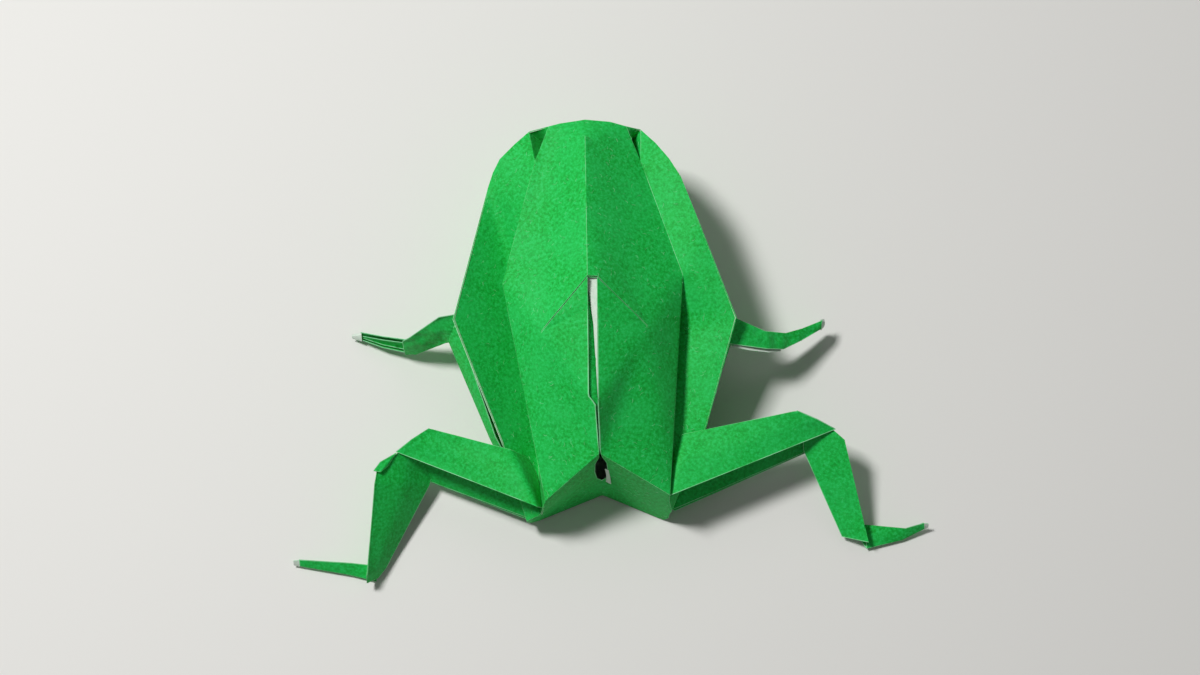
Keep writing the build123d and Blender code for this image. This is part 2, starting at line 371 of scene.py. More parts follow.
@dataclass
class Sheet:
    """One piece of folded paper, drawn as a net of flat panels between folds."""

    name: str
    panels: list[Panel]
    folds: list[Sequence[Point]]
    thickness: float = 0.1
    face: PaperFace = PaperFace.COLOURED
    grain: float = 0.7              # edge length of the refined net
    soft_steps: int = 24            # steps of softening where no fold runs
    fold_radius: float = 0.09       # how far the rounding of a fold reaches on each side
    wear_and_highlight_width: float = 0.09        # of the pale line along a free edge, partly wear and partly a painted highlight
    wave: float = 0.1               # depth of the paper's slow waves
    wave_length: float = 9.0
    body_name: str = "root"

    def joined(self) -> bmesh.types.BMesh:
        """Joins the panels at their shared corners and marks the folds as seams.

        Returns:
            The net, with one face for each panel.
        """
        net = bmesh.new()
        corners: dict[Point, bmesh.types.BMVert] = {}
        for panel in self.panels:
            for point in panel:
                if point not in corners:
                    corners[point] = net.verts.new(point)
            net.faces.new([corners[point] for point in panel])
        for fold in self.folds:
            for start, end in zip(fold, fold[1:]):
                if start in corners and end in corners:
                    edge = net.edges.get((corners[start], corners[end]))
                    if edge is not None:
                        edge.seam = True
        return net

    def refine(self, net: bmesh.types.BMesh) -> None:
        """Cuts the net into triangles as small as the grain.

        Args:
            net: The net of panels, which is refined in place.
        """
        longest = max(edge.calc_length() for edge in net.edges)
        while longest > self.grain:
            longest = max(longest / 2, self.grain)
            for _ in range(REFINING_PASSES):
                limit = longest * LENGTH_SLACK
                long_edges = [edge for edge in net.edges if edge.calc_length() > limit]
                if not long_edges:
                    break
                bmesh.ops.subdivide_edges(net, edges=long_edges, cuts=1)
                bmesh.ops.triangulate(net, faces=[f for f in net.faces if len(f.verts) > 3],
                                      ngon_method="BEAUTY")
        loose = [edge for edge in net.edges if not edge.seam and not edge.is_boundary]
        bmesh.ops.beautify_fill(net, faces=net.faces[:], edges=loose)

    def soften(self, net: bmesh.types.BMesh) -> None:
        """Bends the paper softly where no fold runs and adds slow waves.

        Args:
            net: The refined net. Its vertices are moved.
        """
        net.verts.ensure_lookup_table()
        net.verts.index_update()
        places = np.array([vert.co[:] for vert in net.verts])
        ends = np.array([[vert.index for vert in edge.verts] for edge in net.edges])
        held = np.zeros(len(places), bool)
        for edge in net.edges:
            if edge.seam or edge.is_boundary:
                held[[vert.index for vert in edge.verts]] = True
        places = self.relaxed(places, ends, ~held, self.soft_steps)
        free = self.relaxed((~held).astype(float)[:, None], ends, ~held, WAVE_FADE_STEPS)[:, 0]
        for vert, place, ease in zip(net.verts, places, free):
            vert.co = Vector(place) + noise_vector(Vector(place) / self.wave_length) * self.wave * ease

    def round_folds(self, net: bmesh.types.BMesh) -> None:
        """Rounds the folds to the paper's own radius, and marks them and the free edges for a pale line,
        partly wear and partly a painted highlight.

        Args:
            net: The softened net. It gets rows of faces along its folds and free edges.
        """
        # mask of the pale lines along folds and free edges: partly wear, partly a painted highlight
        wear_and_highlight = net.faces.layers.float.new("fold_wear_and_highlight")
        rim = bmesh.ops.inset_region(net, faces=net.faces[:], thickness=self.wear_and_highlight_width,
                                     use_boundary=True, use_even_offset=True)
        for face in rim["faces"]:
            face[wear_and_highlight] = 1.0
        folds = [edge for edge in net.edges if edge.seam and not edge.is_boundary]
        rounded = bmesh.ops.bevel(net, geom=folds, offset=self.fold_radius, segments=2, profile=0.5,
                                  affect="EDGES", clamp_overlap=True, material=-1)
        for face in rounded["faces"]:
            face[wear_and_highlight] = 1.0

    @staticmethod
    def relaxed(values: np.ndarray, ends: np.ndarray, free: np.ndarray, steps: int) -> np.ndarray:
        """Moves each free value towards the mean of its neighbours.

        Args:
            values: One row for each vertex.
            ends: The two vertices of each edge.
            free: Which vertices may move.
            steps: How many times.

        Returns:
            The new rows.
        """
        values = values.copy()
        counts = np.bincount(ends.ravel(), minlength=len(values))[:, None]
        for _ in range(steps):
            total = np.zeros_like(values)
            np.add.at(total, ends[:, 0], values[ends[:, 1]])
            np.add.at(total, ends[:, 1], values[ends[:, 0]])
            values[free] += SOFTENING_RATE * (total / np.maximum(counts, 1) - values)[free]
        return values

    def build(self, stock: PaperStock) -> bpy.types.Object:
        """Makes the piece's mesh in metres, thickens it and puts it on the frame.

        Args:
            stock: The sheet's materials.

        Returns:
            The finished object.
        """
        net = self.joined()
        self.refine(net)
        self.soften(net)
        self.shape(net)
        self.round_folds(net)
        mesh = bpy.data.meshes.new(self.name)
        net.to_mesh(mesh)
        net.free()
        mesh.transform(Matrix.Scale(MM, 4))
        for material in stock.slots(self.face):
            mesh.materials.append(material)
        piece = linked(self.name, mesh)
        solidify = piece.modifiers.new("plies", "SOLIDIFY")
        solidify.thickness = self.thickness * MM
        solidify.offset = -1
        solidify.material_offset = 1
        solidify.material_offset_rim = 2
        return finished(piece, self.body_name)

    def shape(self, net: bmesh.types.BMesh) -> None:
        """A place for a kind of sheet to shape its net further. A plain sheet leaves it."""


def finished(piece: bpy.types.Object, body: str) -> bpy.types.Object:
    """Turns a piece's modifiers into plain mesh and puts it on the frame.

    Args:
        piece: The object, with its modifiers live.
        body: The frame's body that it rides on.

    Returns:
        The same object, with a plain mesh.
    """
    graph = bpy.context.evaluated_depsgraph_get()
    plain = bpy.data.meshes.new_from_object(piece.evaluated_get(graph), depsgraph=graph)
    piece.modifiers.clear()
    piece.data = plain
    plain.name = piece.name
    plain.polygons.foreach_set("use_smooth", [True] * len(plain.polygons))
    plain.set_sharp_from_angle(angle=math.radians(SHARP_ANGLE_DEG))
    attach(piece, body)
    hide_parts("folded_frog")
    LOG.info("%s: %d faces", piece.name, len(plain.polygons))
    return piece


@dataclass
class BodySide:
    """One half of the inflated body: the corners of its folds, with X as the half width."""

    side: Side
    brow_side: Point = (3.4, 23.8, 17.15)
    brow_ridge: Point = (5.6, 23.3, 16.4)
    ridge_bend: Point = (7.35, 18.5, 15.4)
    back_corner: Point = (12.3, 2.2, 14.6)
    flap_corner: Point = (7.2, -5.8, 17.9)
    hip: Point = (9.1, -27.2, 10.0)
    slit_edge: tuple[Point, ...] = (
        (0.65, 0.3, 21.75), (0.25, -9.5, 20.05), (0.06, -15.2, 18.95), (0.02, -16.4, 18.7),
        (0.02, -22.1, 14.5),
    )
    groove: tuple[Point, ...] = (
        (4.8, 21.3, 10.5), (7.35, 18.5, 15.4), (12.3, 2.2, 14.6), (11.0, -4.0, 10.6),
        (10.2, -12.0, 9.4), (9.4, -20.0, 8.8), (8.9, -30.1, 7.0),
    )
    side_ridge: tuple[Point, ...] = (
        (7.6, 23.2, 15.0), (9.5, 21.0, 15.6), (11.2, 18.5, 16.2), (12.7, 15.7, 16.4),
        (15.0, 8.7, 16.2), (19.3, -3.8, 13.4), (14.5, -17.9, 9.2), (8.8, -29.4, 4.0),
    )
    side_fold: tuple[Point, ...] = (
        (9.2, 21.0, 8.0), (10.6, 19.0, 6.6), (15.0, -2.6, 5.0), (11.6, -18.2, 4.2), (8.7, -29.6, 2.8),
    )
    keel: tuple[Point, ...] = (
        (8.0, 21.0, 4.0), (10.0, 19.0, 2.8), (17.6, -2.6, 1.6), (13.4, -18.2, 1.6), (8.4, -29.8, 1.6),
    )
    belly_edge: tuple[Point, ...] = (
        (6.5, 15.0, 0.2), (12.0, -2.6, 0.2), (9.5, -18.2, 0.2), (8.0, -30.1, 0.2),
    )
    first_sharp: int = 3            # corner from which the middle of the back is a sharp fold

    def placed(self, points: Iterable[Point]) -> list[Point]:
        """The points on this side of the frog."""
        return [(self.side.value * x if x else 0.0, y, z) for x, y, z in points]

    def rear_gap(self, point: Point, tail: Point, lean: float) -> float:
        """How far in front of this half's rear face a point lies, along Y.

        Args:
            point: The point, with X as the half width.
            tail: The tail, from which the rear face runs to the hip.
            lean: How far the rear face runs forward for each millimetre up.

        Returns:
            The distance, which is negative behind the face.
        """
        slope = (tail[1] - self.hip[1] - lean * (tail[2] - self.hip[2])) / self.hip[0]
        return point[1] - tail[1] + slope * abs(point[0]) - lean * (point[2] - tail[2])

    def turned_out(self, panel: Panel) -> Panel:
        """The panel with its corners in the order that faces it outwards on this side."""
        return panel if self.side is Side.LEFT else panel[::-1]


def left_half() -> BodySide:
    """The left half, whose corners the photo shows a little differently from the right.

    Returns:
        The half. Below the outer ridge its folds differ in their last corner only.
    """
    return BodySide(
        side=Side.LEFT,
        brow_side=(3.5, 23.9, 17.1),
        brow_ridge=(5.0, 23.6, 17.0),
        ridge_bend=(7.1, 18.75, 16.9),
        flap_corner=(7.2, -6.0, 18.5),
        slit_edge=(
            (-0.66, 0.3, 22.2), (-0.98, -9.5, 19.85), (-1.22, -15.2, 18.55), (-0.4, -16.4, 18.5),
            (-0.2, -22.1, 14.5),
        ),
        groove=(
            (4.2, 21.6, 10.5), (7.1, 18.75, 16.9), (7.95, 14.4, 15.9), (9.5, 9.0, 12.8), (10.0, 3.0, 8.2),
            (9.6, -5.0, 6.2), (8.6, -18.2, 5.2), (8.4, -30.1, 6.4),
        ),
        back_corner=(12.2, 1.8, 16.0),
        hip=(7.7, -27.2, 10.0),
        side_ridge=(
            (7.8, 23.5, 15.4), (9.8, 21.9, 15.2), (12.0, 20.0, 14.6), (13.0, 18.4, 13.8),
            (13.8, 16.4, 13.2), (19.2, -2.1, 13.0), (13.3, -18.6, 9.0), (10.5, -28.6, 4.0),
        ),
        side_fold=(*BodySide.side_fold[:-1], (10.4, -28.5, 2.8)),
        keel=(*BodySide.keel[:-1], (10.0, -28.4, 1.6)),
        belly_edge=(*BodySide.belly_edge[:-1], (8.7, -27.8, 0.2)),
        first_sharp=2,
    )


@dataclass(frozen=True)
class EdgePly:
    """A narrow ply that shows between the edges of others, given by its two long edges."""

    name: str
    face: PaperFace
    grain: float
    first: tuple[Point, ...]
    second: tuple[Point, ...]
    thickness: float = 0.08

    def sheet(self) -> Sheet:
        """The ply as a flat sheet."""
        return Sheet(self.name, list(panels_between(self.first, self.second)), [],
                     thickness=self.thickness, grain=self.grain, soft_steps=0, wave=0.0, face=self.face)


@dataclass
class Body:
    """The inflated body: skin, slit, rear faces with the blow hole, flaps and belly."""

    nose: Point = (0.0, 26.5, 6.0)
    brow: Point = (0.0, 24.15, 17.5)
    crown: Point = (-0.1, 21.0, 19.8)
    tail: Point = (0.0, -22.1, 14.5)
    belly_front: Point = (0.0, 15.0, 0.2)
    belly_end: Point = (0.0, -30.1, 0.2)
    rear_lean: float = 0.18
    blow_hole: tuple[tuple[float, float], ...] = (
        (0.2, 13.6), (0.75, 12.2), (0.85, 9.6), (0.6, 7.0), (0.0, 5.6),
    )                               # half width and height, from the top down
    edge_gap: float = 0.16          # between the edges of the front and rear flaps
    rear_flap_corner: Point = (3.4, -10.2, 20.0)    # on the right, as the next one is
    front_flap_side: Point = (7.6, 8.0, 19.0)
    front_flap_middle: Point = (-0.42, 9.0, 21.4)
    skin: float = 0.14
    sides: tuple[BodySide, ...] = field(default_factory=lambda: (BodySide(Side.RIGHT), left_half()))
    edge_plies: tuple[EdgePly, ...] = (
        EdgePly("tail_raw_edge", PaperFace.WHITE, 0.3,
                ((1.0, -23.4, 10.1), (1.15, -23.9, 8.2), (1.25, -24.5, 6.2)),
                ((0.5, -23.2, 10.2), (0.65, -23.6, 8.2), (0.55, -24.1, 6.2))),
        EdgePly("slit_white_ply", PaperFace.WHITE, 0.6,
                ((0.75, 0.35, 21.45), (0.5, -5.6, 20.5), (0.4, -9.5, 19.7), (0.2, -15.4, 18.5)),
                ((-0.75, 0.35, 21.6), (-0.15, -5.6, 19.95), (-0.1, -9.5, 19.15), (0.0, -15.4, 18.0))),
        EdgePly("slit_green_ply", PaperFace.DOUBLED, 0.6,
                ((-0.85, 0.3, 21.5), (0.0, -5.6, 19.6), (0.0, -9.5, 18.7), (0.1, -15.4, 17.5),
                 (0.3, -17.0, 17.1), (0.3, -21.7, 13.8)),
                ((-1.1, 0.3, 21.8), (-1.2, -5.6, 20.4), (-1.35, -9.5, 19.45), (-1.4, -15.4, 18.0),
                 (-0.8, -17.0, 17.3), (-0.8, -21.7, 14.0))),
    )

    def cut_at_rear(self, half: BodySide, fold: Sequence[Point]) -> list[Point]:
        """The fold as far as the rear face of its half.

        Args:
            half: The half of the body.
            fold: The fold's corners, from the nose backwards, with X as the half width.

        Returns:
            The corners, the last one on the rear face.
        """
        for number, (start, end) in enumerate(zip(fold, fold[1:])):
            gap_start, gap_end = (half.rear_gap(point, self.tail, self.rear_lean) for point in (start, end))
            if gap_end < -NEAR_ZERO:
                place = Vector(start).lerp(Vector(end), gap_start / (gap_start - gap_end))
                return [*fold[:number + 1], tuple(round(value, DECIMALS) for value in place)]
        return list(fold)

    def folds(self, half: BodySide) -> list[list[Point]]:
        """Gathers the folds of one half.

        Args:
            half: The half of the body.

        Returns:
            The corners of each fold, in the order of Fold.
        """
        folds = [
            [self.nose, half.brow_side, half.flap_corner, half.hip],
            [self.nose, half.brow_ridge, half.ridge_bend, half.back_corner, half.hip],
            list(half.groove),
            [self.nose, *half.side_ridge],
            [self.nose, *half.side_fold],
            [self.nose, *half.keel],
            [self.nose, *half.belly_edge],
            [self.nose, self.belly_front, self.belly_end],
        ]
        back_middle = [self.nose, self.brow, self.crown, *half.slit_edge]
        return [back_middle] + [half.placed(self.cut_at_rear(half, fold)) for fold in folds]

    @staticmethod
    def page_panels(groove: list[Point], ridge: list[Point]) -> list[Panel]:
        """The panels of the side page.

        Args:
            groove: The fold at the page's foot, which starts in the pocket at the temple.
            ridge: The page's outer ridge, from the nose over the temple backwards.

        Returns:
            The panels from the temple to the rear.
        """
        pocket, apex = groove[:2]
        temple = ridge[1]
        return [(pocket, temple, apex), *panels_between(groove[1:], ridge[1:])]

    @staticmethod
    def brow_panels(back: list[Point], groove: list[Point], ridge: list[Point]) -> list[Panel]:
        """The panels at the brow: the front of the head, and the pocket behind it.

        Args:
            back: The ridge of the back, from the nose over the brow backwards.
            groove: The fold at the page's foot, which starts in the pocket.
            ridge: The page's outer ridge, from the nose over the temple backwards.

        Returns:
            The panels down to the side of the back.
        """
        nose, brow = back[:2]
        pocket = groove[0]
        temple = ridge[1]
        return [(brow, nose, temple), (brow, temple, pocket), *panels_between(back[1:], groove)]

    def rear_panels(self, half: BodySide, ring: list[Point]) -> list[Panel]:
        """The rear face of one half, round its half of the blow hole.

        Args:
            half: The half of the body.
            ring: The ends of that half's folds at the rear, from the back to the belly.

        Returns:
            The panels, between the ring and the edge of the hole.
        """
        hole: list[Point] = []
        for x, z in self.blow_hole:
            reach = -half.rear_gap((x, 0.0, z), self.tail, self.rear_lean)
            hole.append((half.side.value * x if x else 0.0, reach, z))
        top, upper, side, lower, bottom = hole
        tail, hip, groove, ridge, fold, keel, edge, middle = ring
        return [
            (tail, hip, top), (top, hip, upper), (upper, hip, groove), (upper, groove, side),
            (side, groove, ridge), (side, ridge, lower), (lower, ridge, fold), (lower, fold, keel),
            (lower, keel, edge), (lower, edge, bottom), (bottom, edge, middle),
        ]

    def skin_sheet(self) -> Sheet:
        """Joins the panels of both halves and of the rear faces.

        Returns:
            The whole skin of the body as one sheet.
        """
        panels: list[Panel] = []
        sharp: list[Sequence[Point]] = []
        for half in self.sides:
            folds = self.folds(half)
            middle, flap, ridge, groove, page = folds[:Fold.SIDE]
            half_panels: list[Panel] = []
            for number, (first, second) in enumerate(zip(folds, folds[1:])):
                if number == Fold.BACK_RIDGE:
                    half_panels.extend(self.brow_panels(first, second, page))
                elif number == Fold.GROOVE:
                    half_panels.extend(self.page_panels(first, second))
                else:
                    half_panels.extend(panels_between(first, second))
            ring = [fold[-1] for number, fold in enumerate(folds) if number != Fold.FLAP]
            half_panels.extend(self.rear_panels(half, ring))
            panels.extend(half.turned_out(panel) for panel in half_panels)
            sharp.extend([
                middle[half.first_sharp:], ridge[1:], groove, page, ring, *folds[Fold.BELLY_EDGE:],
                [self.brow, flap[1], ridge[1]], [page[1], groove[0]], [ridge[1], page[1], groove[1]],
            ])
        right_edge, left_edge = (half.slit_edge[0] for half in self.sides)
        panels.append((self.crown, left_edge, right_edge))
        return Sheet("body", panels, sharp, thickness=self.skin)

    def flap_sheets(self, ground: BVHTree) -> list[Sheet]:
        """The flaps whose edges meet in the pointed line across the back.

        Args:
            ground: The body's mesh, in millimetres.

        Returns:
            The front flap, which spans both halves, and one rear flap for each half.
        """
        lines: list[tuple[Point, Point]] = []
        rear: list[Flap] = []
        for half in self.sides:
            near, inner = half.slit_edge[:2]
            far, outer = half.placed((half.flap_corner, self.rear_flap_corner))
            lines.append((near, far))
            rear.append(Flap(
                name=f"rear_flap_{half.side.name.lower()}",
                panels=[half.turned_out((near, far, outer)), half.turned_out((near, outer, inner))],
                folds=[], lines=[(near, far)], ground=ground,
            ))
        (right_near, right_far), (left_near, left_far) = (
            tuple((x, y + self.edge_gap, z) for x, y, z in line) for line in lines)
        (right_side,), (left_side,) = (half.placed([self.front_flap_side]) for half in self.sides)
        middle = self.front_flap_middle
        front = Flap(
            name="front_flap",
            panels=[
                (left_near, left_side, left_far), (left_near, middle, left_side),
                (right_near, middle, left_near), (right_near, right_side, middle),
                (right_near, right_far, right_side),
            ],
            folds=[(left_near, middle)],
            lines=[(right_near, right_far), (left_near, left_far)],
            ground=ground,
        )
        return [front, *rear]


@dataclass
class Flap(Sheet):
    """A flap that lies on the back: free along one line, and sunk into the back away from it."""

    thickness: float = 0.12
    grain: float = 0.35
    soft_steps: int = 0
    wave: float = 0.0
    # a narrower pale line along the flap's edges, partly wear and partly a painted highlight
    wear_and_highlight_width: float = 0.035
    ground: BVHTree | None = None
    lines: list[tuple[Point, Point]] = field(default_factory=list)
    lift: float = 0.3               # height of the free edge above the back
    sink: float = 0.1               # depth of the flap under the back where it has run out
    reach: float = 6.0              # how far from the free edge it has run out
    reach_share: float = 0.6        # it runs out within this share of what is left of the edge
    taper: float = 2.2              # the lift fades over this length at the far end of the edge

    def shape(self, net: bmesh.types.BMesh) -> None:
        """Lays the flap on the body and lifts its free edge.

        Args:
            net: The refined net. Its vertices are moved.
        """
        for vert in net.verts:
            above = Vector((vert.co.x, vert.co.y, ABOVE_THE_BACK))
            hit = self.ground.ray_cast(above, Vector((0, 0, -1)))[0]
            if hit is None:
                continue
            away, left = min(self.beside(vert.co.xy, line) for line in self.lines)
            lift = self.lift * min(1.0, left / self.taper)
            run = max(min(self.reach, self.reach_share * left), self.grain)
            vert.co.z = hit.z + lift - (lift + self.sink) * min(1.0, away / run)

    @staticmethod
    def beside(point: Vector, line: tuple[Point, Point]) -> tuple[float, float]:
        """Finds where a point lies beside a line, in plan.

        Args:
            point: The point.
            line: The two ends of the line.

        Returns:
            How far the point lies from the line, and from the line's far end along it.
        """
        start, end = (Vector(corner).xy for corner in line)
        along = end - start
        share = min(1.0, max(0.0, (point - start).dot(along) / along.length_squared))
        return (point - start - along * share).length, (1 - share) * along.length


@dataclass(frozen=True)
class Cut:
    """A cut across a folded limb: its crease and the free edges of its two sides."""

    crease: Point
    upper: Point
    lower: Point
    least_width: float = 0.25       # of a side that is pulled back, as a share of the whole side
    narrowest: float = 0.2          # sine of half the opening that a tighter fold is taken to have
    swell: float = 0.05             # how far a side bows out, as a share of its width

    def towards(self, other: "Cut", share: float) -> "Cut":
        """The cut at a share of the way from this one to the next.

        Args:
            other: The next cut.
            share: From 0 at this cut to 1 at the next.

        Returns:
            The cut between them.
        """
        return Cut(*(
            tuple(Vector(near).lerp(Vector(far), share))
            for near, far in zip((self.crease, self.upper, self.lower),
                                 (other.crease, other.upper, other.lower))
        ))

    def across(self, side: StripSide) -> tuple[Point, Point, Point, Point]:
        """The points across one side, whose middle is pushed out a little as in inflated paper.

        Args:
            side: Which side of the strip.

        Returns:
            The crease, the side's middle, its free edge and the free edge of the other side.
        """
        edge, other = self.upper, self.lower
        if side is StripSide.LOWER:
            edge, other = other, edge
        along = Vector(edge) - Vector(self.crease)
        middle = Vector(self.crease) + along / 2
        away = middle - Vector(other)
        away -= along * (away.dot(along) / along.length_squared)
        middle += away.normalized() * along.length * self.swell
        return self.crease, tuple(round(value, DECIMALS) for value in middle), edge, other

    def tucked(self, inwards: float, back: float) -> "Cut":
        """The same cut of a ply that lies inside this one.

        Args:
            inwards: How far inside it lies.
            back: How far its free edges are pulled back.

        Returns:
            The cut of the inner ply.
        """
        crease = Vector(self.crease)
        above, below = (Vector(edge) - crease for edge in (self.upper, self.lower))
        inside = (above.normalized() + below.normalized()).normalized()
        opening = above.angle(below)
        step = inside * (inwards / max(math.sin(opening / 2), self.narrowest))
        pull = back + step.length
        upper, lower = (
            crease + step + side * max(1 - pull / side.length, self.least_width)
            for side in (above, below)
        )
        return Cut(tuple(crease + step), tuple(upper), tuple(lower))


# Paper of the limbs: double and stiff, crumpled in the forearms, and white where the reverse shows
LIMB_PAPER = Sheet("limb", [], [], thickness=0.1, face=PaperFace.DOUBLED, grain=0.5, soft_steps=10,
                   wave=0.08, wave_length=4.0)
CRUMPLED_PAPER = replace(LIMB_PAPER, grain=0.3, wave=0.25, wave_length=1.6)
REVERSED_PAPER = replace(LIMB_PAPER, grain=0.3, face=PaperFace.WHITE)


@dataclass
class Strip:
    """A limb's strip: paper creased along its length, open along its free edges."""

    name: str
    cuts: list[Cut]
    paper: Sheet                    # whose grain, waves and faces the plies have
    plies: int = 2
    ply_gap: float = 0.32
    edge_step: float = 0.35         # how far each ply's free edges lie behind those of the last
    section_step: float = 2.0

    def sections(self) -> list[Cut]:
        """Adds cuts between those of the strip, so that its plies stay evenly apart.

        Returns:
            All the cuts, in order.
        """
        sections = [self.cuts[0]]
        for first, second in zip(self.cuts, self.cuts[1:]):
            length = (Vector(second.crease) - Vector(first.crease)).length
            count = max(1, round(length / self.section_step))
            sections.extend(first.towards(second, step / count) for step in range(1, count + 1))
        return sections

    def sheets(self) -> list[Sheet]:
        """Draws the nested plies of the strip.

        Returns:
            One sheet for each ply, the outer one first.
        """
        nested = []
        for ply in range(self.plies):
            cuts = [cut.tucked(ply * self.ply_gap, ply * self.edge_step) for cut in self.sections()]
            panels: list[Panel] = []
            for first, second in zip(cuts, cuts[1:]):
                for side in StripSide:
                    *start, start_other = first.across(side)
                    *end, end_other = second.across(side)
                    inner = (Vector(start_other) + Vector(end_other)) / 2
                    for near, next_near, far, next_far in zip(start, start[1:], end, end[1:]):
                        panels.append(facing_away((near, far, next_far), inner))
                        panels.append(facing_away((near, next_far, next_near), inner))
            name = self.name if ply == 0 else f"{self.name}_ply_{ply + 1}"
            nested.append(replace(self.paper, name=name, panels=panels,
                                  folds=[[cut.crease for cut in cuts]]))
        return nested


def facing_away(panel: Panel, inner: Vector) -> Panel:
    """The triangle turned so that its outside faces away from a point.

    Args:
        panel: Three corners.
        inner: A point on the inside.

    Returns:
        The corners, in the order that faces outwards.
    """
    first, second, third = (Vector(point) for point in panel)
    normal = (second - first).cross(third - first)
    middle = (first + second + third) / 3
    return panel if normal.dot(middle - inner) > 0 else (panel[0], panel[2], panel[1])


